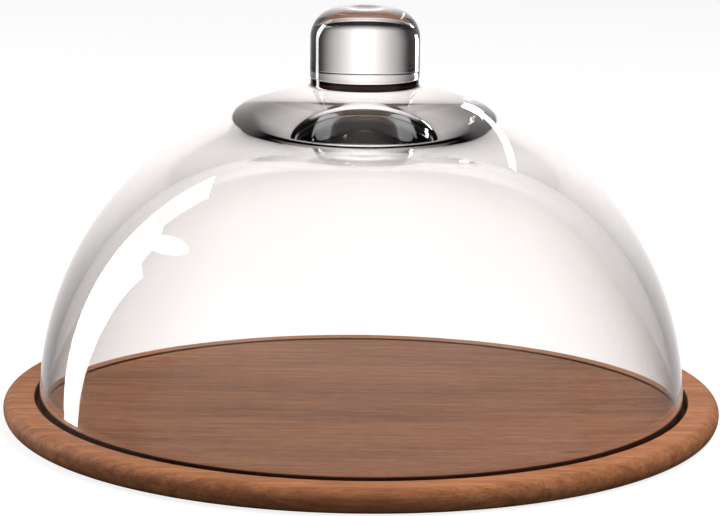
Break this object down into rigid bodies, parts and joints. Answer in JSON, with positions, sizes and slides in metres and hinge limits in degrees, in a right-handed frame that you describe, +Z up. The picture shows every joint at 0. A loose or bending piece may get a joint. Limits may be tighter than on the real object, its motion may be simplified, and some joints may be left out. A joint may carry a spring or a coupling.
{
  "type": "cheese dome",
  "caption": "Round wooden serving board with a ring groove, and a clear glass dome with a solid glass knob that stands in the groove and lifts off.",
  "frame": {"origin": "centre of the board's flat underside, on the surface it stands on", "axes": "+Z up along the axis of the board, dome and knob; +X follows the length of the wood grain"},
  "size_m": [0.325, 0.325, 0.187],
  "materials": {
    "board_wood": "oiled reddish-brown hardwood with fine straight grain",
    "dome_glass": "clear blown glass, fire-polished",
    "knob_glass": "clear solid glass, fire-polished"
  },
  "bodies": {
    "base": {"board": "board_wood"},
    "cover": {"glass_dome": "dome_glass", "glass_knob": "knob_glass"}
  },
  "joints": [
    {"name": "cover_lift", "type": "slide", "parent": "base", "child": "cover", "axis": [0, 0, 1], "range_m": [0, 0.25]}
  ]
}
